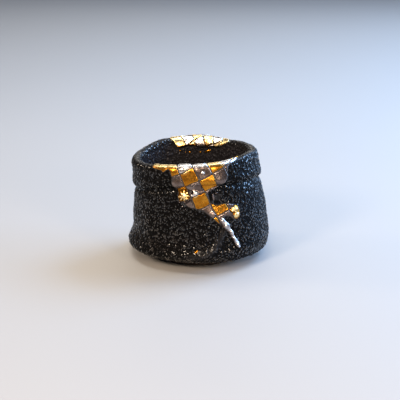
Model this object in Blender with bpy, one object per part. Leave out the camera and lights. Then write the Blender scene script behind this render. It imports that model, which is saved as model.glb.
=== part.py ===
"""Sake cup: one piece of thick black stoneware, pinched by hand, with a collar under the lip,
a body that flares to a low waist, a turned-under base on a small foot ring, and two mends filled
with gold and silver checks that stand slightly proud of the glaze.

Metres, +Z up. The front, with the large mend, faces -Y, and +X is to the right of it.
The origin is on the table, under the middle of the waist.
"""

import functools
import math

import bmesh
import bpy
from mathutils import Vector, geometry

MM = 0.001

# Overall form
RIM_HEIGHT = 54.0 * MM
MOUTH_RADIUS = 32.0 * MM
WAIST_RADIUS = 36.0 * MM
WAIST_HEIGHT = 8.4 * MM
MOUTH_SHIFT = -1.95 * MM

# Walls
WALL = 4.6 * MM
LIP_THICKNESS = 5.2 * MM
FLOOR_THICKNESS = 5.2 * MM
LOWER_WALL_GAIN = 1.2 * MM

# Collar under the lip
COLLAR_HEIGHT = 13.0 * MM
CREASE_DEPTH = 0.7 * MM
CREASE_RISE = 1.8 * MM

# Foot ring and the turned-under base
FOOT_RADIUS = 21.5 * MM
FOOT_RING_WIDTH = 4.6 * MM
FOOT_HEIGHT = 2.8 * MM
FOOT_RECESS = 2.0 * MM
FOOT_CHAMFER = 0.5 * MM
UNDERCUT = 5.6 * MM
UNDERCUT_HEIGHT = 4.2 * MM

# Mends of gold and silver, which stand on the skin and are rooted in the wall
GOLD, SILVER = 1, 2
MEND_UNIT = 1.0 * MM
MEND_PROUD = 0.5 * MM
MEND_EDGE_PROUD = 0.25 * MM
MEND_ROOT = 1.0 * MM
CHECK = 7.1 * MM
CHECK_TURN = math.radians(23)
VEIN_START = 30.5

# Mesh density
COLUMNS = 80
LIP_ROWS = 4
FILL_ROW = 2.4 * MM
LUMP_POINTS = 7
LUMP_RING = 0.55
STEPS_PER_SPAN = 2
FINE_STEPS = 6

# Flat points closer than this are one
FLAT_TOLERANCE = 0.001 * MM

# Small moves along the skin that give its slope
ANGLE_NUDGE = 0.01
TRAVEL_NUDGE = 0.3 * MM

FRONT = -math.pi / 2

# Height of the rim round the mouth, as shares of RIM_HEIGHT: (degrees from +X, share).
RIM_WAVE = (
    (0, 1.022),
    (40, 1.009),
    (60, 0.988),
    (85, 1.006),
    (110, 0.992),
    (130, 0.989),
    (150, 0.955),
    (180, 0.942),
    (205, 0.962),
    (240, 0.990),
    (270, 1.014),
    (300, 1.024),
    (335, 1.048),
)

# Depth of the collar, as shares of COLLAR_HEIGHT, and the lean of its foot against the mouth,
# as shares of MOUTH_RADIUS: right, back, left and front.
COLLAR_WAVE = (1.11, 1.00, 1.19, 0.82)
COLLAR_LEAN = (0.046, 0.012, -0.030, 0.016)

# How far the body has flared from the crease (0) to the waist (1): share of the height from
# waist to crease, then the flare to the right, back, left and front.
BODY_FLARE = (
    (0.12, 0.98, 0.88, 0.80, 0.90),
    (0.26, 0.87, 0.66, 0.38, 0.66),
    (0.56, 0.65, 0.44, 0.31, 0.42),
    (0.82, 0.27, 0.18, 0.10, 0.17),
)

# How the collar bulges: share of its lean, and of its height below the lip.
COLLAR_BULGE = (0.4, 0.25)

# The bowl of the inner floor: shares of the inside radius above it, and of the rise to there.
FLOOR_BOWL = ((0.94, 0.36), (0.72, 0.06), (0.36, 0.0))

# Where the waist's edge runs, as shares of WAIST_HEIGHT, and how far the base turns in below it,
# as shares of UNDERCUT: right, back, left and front.
WAIST_WAVE = (1.34, 1.08, 0.86, 1.06)
UNDERCUT_WAVE = (0.43, 1.00, 0.76, 1.18)

# Hollows pressed by the maker's fingers: degrees from +X, share of RIM_HEIGHT, half width in
# degrees, half height as a share, depth as a share of WALL.
HOLLOWS = (
    (286, 0.67, 15, 0.10, 0.22),
    (290, 0.27, 9, 0.14, 0.14),
    (204, 0.30, 18, 0.11, 0.16),
    (30, 0.36, 24, 0.16, 0.16),
    (100, 0.44, 26, 0.20, 0.14),
)

# Pinched waves of the wall: lobes round the cup, phase in degrees, depth as a share of the radius.
PINCHES = ((3, 40, 0.006), (5, 110, 0.004), (7, 10, 0.0025))

# The front mend's edge, in MEND_UNITs: (round the mouth from the front, down from the crest).
FRONT_MEND = (
    (-24.4, 0.8), (-20, -2.2), (-12, -3.2), (0, -3.6), (10, -3.2), (18, -2.4), (23.5, 0.2),
    (19.5, 1.8), (16, 3), (15.2, 5), (15, 7.7), (13.9, 9.8), (12.4, 12), (10.2, 12.9),
    (7, 14.4), (4.6, 15.6), (5.2, 18.6), (6, 21.2), (9.5, 22.6), (13.2, 22.3), (17.6, 23.5),
    (20, 25), (20.8, 28.9), (19.9, 30.6), (17.6, 30.7), (15.2, 28.7), (12, 28.6),
    (12.6, 31), (14.6, 32.2), (14.8, 34.3), (16.9, 37.4), (19, 39.9), (20.2, 42.8), (19.8, 44.8),
    (18.4, 45.2), (17, 43.2), (15.4, 39.3), (12.4, 35), (9.6, 31.4), (5.9, 27.8), (1.6, 24.2),
    (-4.1, 22.6), (-6.7, 20.3), (-9.3, 18.7), (-9.9, 13.4), (-12.3, 10.5), (-12.7, 6.5),
    (-13.8, 3.4), (-15.2, 2.8), (-17.2, 4.1), (-18.6, 3.2), (-22.4, 2.7),
)

# The back mend's edge, measured the same way from the back, where below 0 is inside the cup.
BACK_MEND = (
    (16.4, -0.6), (14.2, -4.6), (12.4, -6.1), (9.3, -5.6), (3, -5.7), (0.5, -6.7), (-5, -6.8),
    (-12.3, -5.4), (-16.7, -4.2), (-20.6, -2), (-17.5, 0.8), (-8, 2.2), (2, 2.4), (12, 1.6),
)

# A seam crossing of each mend's checks, in the same measure.
FRONT_CROSSING = (0.4, 8.6)
BACK_CROSSING = (-3.0, -1.2)

# Lumps in the fill, in MEND_UNITs: round the mouth, down from the crest, radius, height.
LUMPS = (
    (-6.5, 16.9, 2.6, 0.50),
    (-2.4, 15.9, 1.9, 0.35),
    (15.2, 26.0, 1.6, 0.25),
    (17.9, 26.1, 1.9, 0.55),
    (18.4, 28.7, 1.8, 0.60),
    (12.6, 32.2, 1.5, 0.40),
    (14.3, 35.4, 1.4, 0.35),
    (16.3, 38.8, 1.4, 0.35),
    (18.2, 42.2, 1.5, 0.40),
)


def around(values, angle):
    """A smooth value at this angle from four values: right, back, left and front."""
    right, back, left, front = values
    mean = (right + back + left + front) / 4
    across = (right - left) / 2 * math.cos(angle) + (back - front) / 2 * math.sin(angle)
    return mean + across + (right + left - back - front) / 4 * math.cos(2 * angle)


def spline(before, start, end, after, t):
    """Catmull-Rom between start and end, for numbers and vectors."""
    return (
        start * 2
        + (end - before) * t
        + (before * 2 - start * 5 + end * 4 - after) * t**2
        + (start * 3 - before - end * 3 + after) * t**3
    ) * 0.5


def rim_height(angle):
    """Height of the lip's crest at this angle."""
    degrees = math.degrees(angle) % 360
    marks = [(d, share) for d, share in RIM_WAVE] + [(360, RIM_WAVE[0][1])]
    index = max(i for i, (d, _) in enumerate(marks[:-1]) if d <= degrees)
    count = len(RIM_WAVE)
    t = (degrees - marks[index][0]) / (marks[index + 1][0] - marks[index][0])
    near = [RIM_WAVE[(index + k) % count][1] for k in (-1, 0, 1, 2)]
    return RIM_HEIGHT * spline(*near, t)


def pinched(radius, angle):
    """The radius with the maker's finger waves in it."""
    waves = (depth * math.sin(lobes * angle + math.radians(phase)) for lobes, phase, depth in PINCHES)
    return radius * (1 + sum(waves))


def section(angle):
    """Control points (radius, height) of the skin at one angle: outside, lip and inside."""
    rim = rim_height(angle)
    mouth = pinched(MOUTH_RADIUS, angle) + MOUTH_SHIFT * math.cos(angle)
    crease_height = rim - around(COLLAR_WAVE, angle) * COLLAR_HEIGHT
    collar = mouth + around(COLLAR_LEAN, angle) * MOUTH_RADIUS
    crease = collar - CREASE_DEPTH
    waist = pinched(WAIST_RADIUS, angle)
    waist_height = around(WAIST_WAVE, angle) * WAIST_HEIGHT
    lip = LIP_THICKNESS / 2
    bulge, bulge_drop = COLLAR_BULGE

    outside = [
        (FOOT_RADIUS + FOOT_CHAMFER, FOOT_HEIGHT),
        (waist - around(UNDERCUT_WAVE, angle) * UNDERCUT, UNDERCUT_HEIGHT),
        (waist, waist_height),
    ]
    for share, *flare in BODY_FLARE:
        height = waist_height + share * (crease_height - waist_height)
        outside.append((crease + around(flare, angle) * (waist - crease), height))
    outside += [
        (crease, crease_height),
        (collar, crease_height + CREASE_RISE),
        (mouth + (collar - mouth) * bulge, rim - lip - COLLAR_HEIGHT * bulge_drop),
    ]

    turns = [math.radians(degrees) for degrees in (0, 45, 90, 135, 180)]
    roll = [(mouth - lip + lip * math.cos(t), rim - lip + lip * math.sin(t)) for t in turns]

    inside = [(crease - WALL, crease_height)]
    for share, *flare in reversed(BODY_FLARE[1:]):
        height = waist_height + share * (crease_height - waist_height)
        gain = LOWER_WALL_GAIN * (1 - share)
        inside.append((crease + around(flare, angle) * (waist - crease) - WALL - gain, height))
    radius, height = inside[-1]
    floor = FOOT_RECESS + FLOOR_THICKNESS
    inside += [(radius * wide, floor + (height - floor) * rise) for wide, rise in FLOOR_BOWL]
    return outside, roll, inside


def hollow(angle, height):
    """How far the outside is pressed in at this angle and height."""
    depth = 0
    for degrees, share, spread, reach, part in HOLLOWS:
        turn = math.remainder(angle - math.radians(degrees), 2 * math.pi) / math.radians(spread)
        rise = (height / RIM_HEIGHT - share) / reach
        depth += part * WALL * math.exp(-(turn**2) - rise**2)
    return depth


@functools.cache
def skin(angle, steps=STEPS_PER_SPAN):
    """The section's points joined by a smooth curve, as vectors (radius, height)."""
    outside, roll, inside = section(angle)
    marks = [Vector(point) for point in outside + roll + inside]
    marks = [marks[0], *marks, marks[-1]]
    points = []
    for before, start, end, after in zip(marks, marks[1:], marks[2:], marks[3:]):
        points += [spline(before, start, end, after, k / steps) for k in range(steps)]
    for point in points[steps : len(outside) * steps]:
        point.x -= hollow(angle, point.y)
    return [*points, marks[-1]]


def place(point, angle):
    """A (radius, height) point turned to this angle."""
    radius, height = point
    return Vector((radius * math.cos(angle), radius * math.sin(angle), height))


def along_skin(angle, travel):
    """The point on the skin this far from the lip's crest: down the outside, or inside if below 0."""
    points = skin(angle, FINE_STEPS)
    outside, roll, _ = section(angle)
    index = (len(outside) + len(roll) // 2) * FINE_STEPS
    step = -1 if travel > 0 else 1
    left = abs(travel)
    while left > (length := (points[index + step] - points[index]).length):
        left -= length
        index += step
    return place(points[index].lerp(points[index + step], left / length), angle)


def on_skin(across, travel, proud=0.0):
    """The point this far round the mouth from the front and down from the crest, off the skin."""
    angle = FRONT + across / MOUTH_RADIUS
    side = along_skin(angle + ANGLE_NUDGE, travel) - along_skin(angle - ANGLE_NUDGE, travel)
    down = along_skin(angle, travel + TRAVEL_NUDGE) - along_skin(angle, travel - TRAVEL_NUDGE)
    return along_skin(angle, travel) + down.cross(side).normalized() * proud


def foot_section():
    """Points (radius, height) from the middle of the recess out to the heel."""
    inner = FOOT_RADIUS - FOOT_RING_WIDTH
    return [
        (inner / 2, FOOT_RECESS),
        (inner - 2 * FOOT_CHAMFER, FOOT_RECESS),
        (inner - FOOT_CHAMFER, FOOT_RECESS - FOOT_CHAMFER),
        (inner, 0),
        (FOOT_RADIUS - FOOT_CHAMFER, 0),
        (FOOT_RADIUS, FOOT_CHAMFER),
    ]


def cup_mesh():
    """The whole cup as rings of points, bridged into one closed skin."""
    mesh = bmesh.new()
    angles = [2 * math.pi * k / COLUMNS for k in range(COLUMNS)]
    columns = [[Vector(p) for p in foot_section()] + skin(a) for a in angles]
    rings = []
    for level in range(len(columns[0])):
        rings.append([mesh.verts.new(place(columns[k][level], a)) for k, a in enumerate(angles)])
    under = mesh.verts.new((0, 0, FOOT_RECESS))
    floor = mesh.verts.new((0, 0, FOOT_RECESS + FLOOR_THICKNESS))
    for k in range(COLUMNS):
        after = (k + 1) % COLUMNS
        mesh.faces.new((under, rings[0][after], rings[0][k]))
        for low, high in zip(rings, rings[1:]):
            mesh.faces.new((low[k], low[after], high[after], high[k]))
        mesh.faces.new((rings[-1][k], rings[-1][after], floor))
    return mesh


def inside_outline(point, outline):
    """Whether a flat point lies within a closed outline."""
    crossings = 0
    for (x0, y0), (x1, y1) in zip(outline, outline[1:] + outline[:1]):
        if (y0 > point.y) != (y1 > point.y):
            crossings += point.x < x0 + (point.y - y0) / (y1 - y0) * (x1 - x0)
    return crossings % 2 == 1


def edge_distance(point, outline):
    """Distance from a flat point to the nearest side of a closed outline."""
    nearest = []
    for start, end in zip(outline, outline[1:] + outline[:1]):
        near, share = geometry.intersect_point_line(point, start, end)
        near = start if share < 0 else end if share > 1 else near
        nearest.append((point - near.to_2d()).length)
    return min(nearest)


def level_lines(low, high):
    """Distances between two limits, counted from the crest: close on the lip, wider beyond it."""
    quarter = math.pi / 2 * LIP_THICKNESS / 2
    levels = [quarter * k / LIP_ROWS for k in range(-LIP_ROWS, LIP_ROWS + 1)]
    rows = range(1, math.ceil((high - low) / FILL_ROW))
    levels += [side * (quarter + FILL_ROW * k) for side in (-1, 1) for k in rows]
    return [level for level in levels if low < level < high]


def fill_lines(outline, crossing):
    """Flat lines that cut a fill: level, upright in step with the cup's columns, and the seams."""
    left, right = min(p.x for p in outline), max(p.x for p in outline)
    low, high = min(p.y for p in outline), max(p.y for p in outline)
    lines = [(Vector((left, level)), Vector((right, level))) for level in level_lines(low, high)]
    column = 2 * math.pi * MOUTH_RADIUS / COLUMNS
    for k in range(math.ceil(left / column), math.floor(right / column) + 1):
        lines.append((Vector((k * column, low)), Vector((k * column, high))))
    along = Vector((math.cos(CHECK_TURN), -math.sin(CHECK_TURN)))
    down = Vector((math.sin(CHECK_TURN), math.cos(CHECK_TURN)))
    reach = max((point - crossing).length for point in outline)
    for k in range(-math.ceil(reach / CHECK), math.ceil(reach / CHECK) + 1):
        for side, run in ((along, down), (down, along)):
            middle = crossing + side * (k * CHECK)
            lines.append((middle - run * reach, middle + run * reach))
    return lines


def lump_points(lumps, outline):
    """Flat points on and round each lump, as far as they lie within the outline."""
    points = []
    for across, travel, radius, _ in lumps:
        middle = Vector((across, travel)) * MEND_UNIT
        points.append(middle)
        for k in range(LUMP_POINTS):
            turn = 2 * math.pi * k / LUMP_POINTS
            reach = radius * MEND_UNIT * LUMP_RING
            points.append(middle + Vector((math.cos(turn), math.sin(turn))) * reach)
    return [point for point in points if inside_outline(point, outline)]


def check_metal(point, crossing):
    """GOLD or SILVER at a flat point: the checks take turns, and the thin vein is all silver."""
    offset = point - crossing
    column = offset.x * math.cos(CHECK_TURN) - offset.y * math.sin(CHECK_TURN)
    row = offset.x * math.sin(CHECK_TURN) + offset.y * math.cos(CHECK_TURN)
    odd = (math.floor(column / CHECK) + math.floor(row / CHECK)) % 2
    return SILVER if odd or point.y > VEIN_START * MEND_UNIT else GOLD


def fill_height(point, outline, lumps):
    """How far the fill stands off the skin at a flat point: low at its edge, with lumps."""
    height = MEND_EDGE_PROUD
    height += (MEND_PROUD - MEND_EDGE_PROUD) * min(1, edge_distance(point, outline) / MEND_PROUD)
    for across, travel, radius, rise in lumps:
        gap = (point - Vector((across, travel)) * MEND_UNIT).length / (radius * MEND_UNIT)
        height += rise * MEND_UNIT * max(0, 1 - gap**2)
    return height


def flat_fill(outline, crossing, lumps):
    """A fill's flat points and triangles."""
    lines = fill_lines(outline, crossing)
    count = len(outline)
    points = outline + [end for line in lines for end in line] + lump_points(lumps, outline)
    sides = [(k, (k + 1) % count) for k in range(count)]
    sides += [(count + 2 * k, count + 2 * k + 1) for k in range(len(lines))]
    flat, _, faces, *_ = geometry.delaunay_2d_cdt(points, sides, [], 0, FLAT_TOLERANCE)
    return flat, faces


def mend_mesh(edge, crossing, start, lumps=()):
    """The fill of one mend: a plate that follows the skin, cut along its checks."""
    outline = [Vector(point) * MEND_UNIT for point in edge]
    crossing = Vector(crossing) * MEND_UNIT
    flat, faces = flat_fill(outline, crossing, lumps)
    mesh = bmesh.new()
    tops, roots = {}, {}
    for face in faces:
        middle = sum((flat[k] for k in face), Vector((0, 0))) / len(face)
        if not inside_outline(middle, outline):
            continue
        for k in set(face) - set(tops):
            across, travel = flat[k].x + start, flat[k].y
            proud = fill_height(flat[k], outline, lumps)
            tops[k] = mesh.verts.new(on_skin(across, travel, proud))
            roots[k] = mesh.verts.new(on_skin(across, travel, -MEND_ROOT))
        metal = check_metal(middle, crossing)
        mesh.faces.new([tops[k] for k in face]).material_index = metal
        mesh.faces.new([roots[k] for k in reversed(face)]).material_index = metal
    pairs = {top: roots[k] for k, top in tops.items()}
    for side in [edge for edge in mesh.edges if edge.is_boundary and edge.verts[0] in pairs]:
        loop = side.link_loops[0]
        first, second = loop.vert, loop.link_loop_next.vert
        wall = mesh.faces.new((second, first, pairs[first], pairs[second]))
        wall.material_index = loop.face.material_index
    bmesh.ops.recalc_face_normals(mesh, faces=mesh.faces)
    return mesh


def fuse(body, plate):
    """Fuses a mend's fill to the cup, which keeps the fill's metals."""
    union = body.modifiers.new(plate.name, "BOOLEAN")
    union.operation = "UNION"
    union.object = plate
    union.material_mode = "TRANSFER"
    plate.hide_render = True
    plate.display_type = "WIRE"


def finish(name, colour, roughness, metallic):
    """A plain Principled material."""
    material = bpy.data.materials.new(name)
    material.use_nodes = True
    shader = material.node_tree.nodes["Principled BSDF"]
    shader.inputs["Base Color"].default_value = (*colour, 1)
    shader.inputs["Roughness"].default_value = roughness
    shader.inputs["Metallic"].default_value = metallic
    material.diffuse_color = (*colour, 1)
    return material


def object_from(name, mesh, materials):
    """A smooth-shaded object in the scene from a bmesh."""
    data = bpy.data.meshes.new(name)
    mesh.to_mesh(data)
    mesh.free()
    for material in materials:
        data.materials.append(material)
    data.shade_smooth()
    data.set_sharp_from_angle(angle=math.radians(50))
    made = bpy.data.objects.new(name, data)
    bpy.context.scene.collection.objects.link(made)
    return made


def main():
    for old in list(bpy.data.objects):
        bpy.data.objects.remove(old)
    finishes = [
        finish("black_glaze", (0.012, 0.011, 0.011), 0.32, 0.0),
        finish("gold", (0.80, 0.45, 0.08), 0.25, 1.0),
        finish("silver", (0.55, 0.52, 0.50), 0.22, 1.0),
    ]
    cup = object_from("sake_cup", cup_mesh(), finishes)
    front_fill = mend_mesh(FRONT_MEND, FRONT_CROSSING, 0.0, LUMPS)
    fuse(cup, object_from("front_mend", front_fill, finishes))
    back_fill = mend_mesh(BACK_MEND, BACK_CROSSING, math.pi * MOUTH_RADIUS)
    fuse(cup, object_from("back_mend", back_fill, finishes))


main()
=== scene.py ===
"""The sake cup as it looks: a black glaze drawn into fine beads, with mends in gold and silver.

It is laid out as an add-on and run as a script. The frame is the packed part, in metres, with +Z
up, the front towards -Y and the origin on the table under the middle of the waist.
"""

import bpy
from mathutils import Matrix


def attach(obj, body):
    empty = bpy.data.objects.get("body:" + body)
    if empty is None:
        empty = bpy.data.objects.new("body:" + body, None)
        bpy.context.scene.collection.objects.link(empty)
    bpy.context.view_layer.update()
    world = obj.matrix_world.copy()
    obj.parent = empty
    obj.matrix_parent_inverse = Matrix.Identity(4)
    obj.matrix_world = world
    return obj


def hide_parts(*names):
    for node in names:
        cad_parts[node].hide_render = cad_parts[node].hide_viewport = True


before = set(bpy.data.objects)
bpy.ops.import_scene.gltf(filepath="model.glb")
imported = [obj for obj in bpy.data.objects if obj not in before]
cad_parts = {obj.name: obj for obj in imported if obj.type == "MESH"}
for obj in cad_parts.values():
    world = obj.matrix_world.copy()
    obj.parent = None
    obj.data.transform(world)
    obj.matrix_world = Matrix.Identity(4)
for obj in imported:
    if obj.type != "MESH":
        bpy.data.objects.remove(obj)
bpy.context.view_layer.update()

import copy
import math

import bpy
import numpy as np
from mathutils import Vector, geometry, noise

bl_info = {
    "name": "Sake cup",
    "version": (1, 0, 0),
    "blender": (4, 5, 0),
    "location": "3D View > Sidebar > Cup",
    "description": "Makes a pinched black sake cup with mends of gold and silver checks",
    "category": "Add Mesh",
}

MM = 0.001
FRONT = -math.pi / 2
CUP_NODE = "sake_cup"
BODY = "root"

# Height of the rim round the mouth, as shares of the rim height: (degrees from +X, share).
RIM_WAVE = (
    (0, 1.022), (40, 1.009), (60, 0.988), (85, 1.006), (110, 0.992), (130, 0.989), (150, 0.955),
    (180, 0.942), (205, 0.962), (240, 0.990), (270, 1.014), (300, 1.024), (335, 1.048),
)

# Shares to the right, back, left and front: the collar's depth and its lean against the mouth.
COLLAR_WAVE = (1.11, 1.00, 1.19, 0.82)
COLLAR_LEAN = (0.046, 0.012, -0.030, 0.016)

# Flare of the body: share of the height from waist to crease, then right, back, left and front.
BODY_FLARE = (
    (0.12, 0.98, 0.88, 0.80, 0.90),
    (0.26, 0.87, 0.66, 0.38, 0.66),
    (0.56, 0.65, 0.44, 0.31, 0.42),
    (0.82, 0.27, 0.18, 0.10, 0.17),
)

# The collar's bulge: share of its lean, and of its height below the lip.
COLLAR_BULGE = (0.4, 0.25)

# The bowl of the inner floor: shares of the inside radius above it, and of the rise to there.
FLOOR_BOWL = ((0.94, 0.36), (0.72, 0.06), (0.36, 0.0))

# The waist's edge and the turn-in below it: right, back, left and front.
WAIST_WAVE = (1.34, 1.08, 0.86, 1.06)
UNDERCUT_WAVE = (0.43, 1.00, 0.76, 1.18)

# Hollows pressed by the maker's fingers: degrees from +X, share of the rim height, half width in
# degrees, half height as a share, depth as a share of the wall.
HOLLOWS = (
    (286, 0.67, 15, 0.10, 0.22),
    (290, 0.27, 9, 0.14, 0.14),
    (204, 0.30, 18, 0.11, 0.16),
    (30, 0.36, 24, 0.16, 0.16),
    (100, 0.44, 26, 0.20, 0.14),
)

# How the collar rolls over the crease, in mm: height over the crease, half height, how far out.
COLLAR_ROLL = ((3.6, 2.5, 0.45), (0.0, 1.5, -0.75), (-3.6, 3.0, 0.25))
COLLAR_ROLL_WAVE = (0.7, 1.0, 1.2, 0.9)

# Pinched waves of the wall: lobes round the cup, phase in degrees, depth as a share of the radius.
PINCHES = ((3, 40, 0.006), (5, 110, 0.004), (7, 10, 0.0025))

# Edge of the front mend's checks in mm: round the mouth from the front, down from the crest.
FRONT_MEND = (
    (-24.4, 0.8), (-20, -2.2), (-12, -3.2), (0, -3.6), (10, -3.2), (18, -2.4), (23.5, 0.2),
    (19.5, 1.8), (16, 3), (15.2, 5), (15, 7.7), (13.9, 9.8), (12.4, 12), (10.2, 12.9),
    (7, 14.4), (4.6, 15.6), (5.2, 18.6), (6, 21.2), (9.5, 22.6), (13.2, 22.3), (17.6, 23.5),
    (20, 25), (20.8, 28.9), (19.9, 30.6), (17.6, 30.7), (15.2, 28.7), (12.2, 28.6),
    (12.6, 30.6), (12.2, 32.2), (10.6, 32.2), (9.2, 31.2), (5.9, 27.8), (1.6, 24.2),
    (-4.1, 22.6), (-6.7, 20.3), (-9.3, 18.7), (-9.9, 13.4), (-12.3, 10.5), (-12.7, 6.5),
    (-13.8, 3.4), (-15.2, 2.8), (-17.2, 4.1), (-18.6, 3.2), (-22.4, 2.7),
)

# Edge of the back mend, measured the same way from the back; below 0 is inside the cup.
BACK_MEND = (
    (16.4, -0.6), (14.2, -4.6), (12.4, -6.1), (9.3, -5.6), (3, -5.7), (0.5, -6.7), (-5, -6.8),
    (-12.3, -5.4), (-16.7, -4.2), (-20.6, -2), (-17.5, 0.8), (-8, 2.2), (2, 2.4), (12, 1.6),
)

# Where two seams of each mend cross, measured as its edge is.
FRONT_CROSSING = (0.4, 8.6)
BACK_CROSSING = (-3.0, -1.2)

# How far and how widely the edge of a mend wavers, in mm.
EDGE_WAVER = (0.1, 0.9)

# Waves in the metal: height and width in mm, and a number that sets their pattern.
METAL_WAVES = ((0.09, 3.1, 1.7), (0.022, 1.1, 5.3))

# Height of a check at its very edge, as a share.
LOW_EDGE = 0.3

# Where the back mend starts to lean inwards and where it leans fully, in mm inside the crest.
LEAN_SPAN = (1.0, 6.5)

# Where the lip gets a painted highlight, outside and inside the crest: reach and width of the fade
# in mm.
LIP_HIGHLIGHT = ((3.0, 2.6), (5.8, 1.8))

# Least area of a bit of metal at the mends' edges, in square mm.
CRUMB = 2.2

# Metal laid over a hollow fills it where it is narrower than this, from below the lip onwards.
BRIDGE = 6 * MM
BRIDGE_START = (4 * MM, 8 * MM)

# Lumps in the front checks, in mm: round, down, radius, height, rays.
LUMPS = (
    (-6.6, 16.8, 4.1, 1.15, 8),
    (-2.0, 16.0, 2.3, 0.85, 0),
    (-3.1, 15.1, 1.2, -0.90, 0),
    (2.3, 17.2, 2.4, 0.45, 0),
    (-7.0, 1.2, 4.2, 0.52, 0),
    (2.3, 4.6, 0.85, 0.58, 0),
    (2.6, 4.2, 3.0, -0.25, 0),
    (15.2, 26.0, 1.6, 0.25, 0),
    (17.9, 26.1, 1.9, 0.70, 0),
    (18.4, 28.7, 1.8, 0.75, 0),
    (16.9, 27.7, 0.8, -0.60, 0),
    (19.3, 27.3, 0.6, -0.55, 0),
)

# Places where the gold lies in small drops, in mm: round, down, radius, depth, width of a drop.
DROPS = (
    (18.3, 27.4, 3.6, 0.50, 1.15),
    (-6.5, 18.0, 3.6, 0.15, 1.1),
    (-14.5, 2.5, 3.5, 0.20, 1.6),
    (9.0, 23.5, 3.6, 0.40, 1.3),
)

# The silver vein's path in mm: round, down, half width.
VEIN = (
    (10.6, 29.8, 1.5),
    (11.9, 31.3, 1.5),
    (13.2, 33.2, 2.0),
    (14.4, 35.3, 1.35),
    (15.6, 37.3, 1.05),
    (16.5, 39.3, 0.95),
    (17.6, 41.6, 1.1),
    (18.6, 43.7, 1.15),
    (19.4, 45.4, 0.7),
)

# Direction of the vein's side with a painted highlight, with painted shade on the far side; its
# length sets how quickly the painted highlight comes in.
VEIN_HIGHLIGHT_SIDE = (1.5, -0.3, 1.0)

# A low fold in the glaze near the base, in mm: round, down; then half width and height.
FOLD = ((13.0, 35.8), (10.6, 39.0), (8.3, 42.6), (5.6, 45.9), (1.5, 47.6), (-3.5, 48.3))
FOLD_SIZE = (1.3, 0.55)

# How far the beads are worn off the crest of the lip: half width in mm, share.
LIP_WEAR = (2.6, 0.5)

# Beads of the glaze: how far a swirl pulls them aside and how far a dome reaches, as shares of their
# distance; the least height of a dome, and the height that lies level with the skin, as shares.
BEAD_PULL, BEAD_REACH, BEAD_LEAST, BEAD_LEVEL = 1.3, 0.70, 0.74, 0.45

# Smooth patches in the glaze, in mm: round, down, half length, half width, turn in degrees.
PATCHES = (
    (9.4, 41.0, 6.0, 2.4, -57),
    (9.4, 18.6, 3.0, 2.4, 0),
    (0.7, 45.1, 1.7, 1.6, 0),
    (33.5, 51.0, 5.5, 2.6, 0),
)

# Stray drops of gold from the mends: degrees from +X, down in mm, half length, half width, turn.
GOLD_FLECKS = (
    (268.7, 44.9, 1.1, 0.6, 35),
    (99.5, -9.6, 0.5, 0.45, 0),
    (104.0, -9.3, 0.4, 0.3, 0),
    (79.0, -9.2, 1.8, 0.6, 24),
    (87.6, -9.9, 0.65, 0.5, 0),
    (110.0, -8.2, 0.45, 0.4, 0),
    (314.5, -1.6, 1.8, 0.35, -10),
)
SILVER_FLECKS = (
    (254.0, 19.9, 0.45, 0.35, 20),
    (256.5, 22.2, 0.5, 0.35, 40),
    (259.5, 23.4, 0.45, 0.3, 10),
    (283.4, 18.3, 1.7, 0.5, -78),
    (286.5, 16.4, 0.45, 0.35, 0),
)

# Stray drops in mm: rise over the middle, distance of the middle from the skin, unevenness.
FLECK_RISE, FLECK_OFF, FLECK_UNEVEN = 0.32, 0.1, 0.3

# The silver vein in mm: step along it, height and size of its lumps; then its sunk share.
VEIN_STEP, VEIN_LUMP, VEIN_LUMP_SIZE, VEIN_SUNK = 0.22, 0.8, 2.6, 0.15

# Lights of the stage: place and size in metres, power in watts, tint.
WHITE, WARM, COOL = (1.0, 0.96, 0.90), (1.0, 0.80, 0.62), (0.33, 0.58, 1.0)
LIGHTS = {
    "top_strip": ((0.0, 0.25, 0.70), (1.0, 0.16), 3.0, WHITE),
    "key": ((-0.12, -0.25, 0.78), (0.24, 0.20), 2.6, WHITE),
    "front_left": ((-0.45, -0.60, 0.46), (0.15, 0.15), 4.2, WARM),
    "front": ((-0.02, -0.74, 0.46), (0.13, 0.13), 2.8, WARM),
    "front_right": ((0.40, -0.62, 0.30), (0.12, 0.12), 1.9, WARM),
    "behind": ((0.05, 0.75, 0.30), (0.6, 0.15), 0.8, WHITE),
    "right_side": ((0.65, 0.05, 0.25), (0.30, 0.20), 4.2, COOL),
    "window": ((0.55, 0.50, 0.20), (0.70, 0.45), 2.4, COOL),
    "sky": ((0.48, 0.34, 0.58), (0.40, 0.40), 8.0, COOL),
    "left_side": ((-0.65, 0.1, 0.35), (0.15, 0.15), 1.4, WARM),
}
LIT_POINT = (0, 0, 0.03)
ROOM_COLOUR, ROOM_LIGHT = (0.80, 0.86, 0.95), 0.10

# Floor in metres: half width, front and back ends, radius of its bend, height of the wall.
FLOOR_HALF, FLOOR_FRONT, FLOOR_BACK, FLOOR_BEND, WALL_TOP = 2.0, -1.2, 1.3, 0.5, 2.2

# Camera: lens and sensor in mm, and shift.
LENS, SENSOR = 123.3, 36.0
SHIFT = (0.00475, 0.00375)

# Patterns in the materials, in waves per metre.
GLAZE_PATCH, GLAZE_SPECK, CLAY_PATCH, CLAY_GRIT = 75.0, 2600.0, 120.0, 2200.0
METAL_PATCH, METAL_SPECK, METAL_BRUSH, METAL_LUMP = 260.0, 1500.0, 2300.0, 900.0
FLOOR_PATCH, FLOOR_GRAIN = 3.0, 900.0

# Roughness of the glaze in its gaps, on its beads and in smooth places, and of the other materials.
GAP_ROUGH, BEAD_ROUGH, SMOOTH_ROUGH = 0.46, 0.14, 0.34
METAL_ROUGH, CLAY_ROUGH, FLOOR_ROUGH = 0.24, 0.78, 0.62

# The glaze shines on its beads, through a clear coat, and hardly in between.
GLAZE_SHINE = {"Specular IOR Level": 0.05, "Coat Roughness": 0.16, "Coat IOR": 1.60}
SMOOTH_COAT = 0.22

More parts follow.
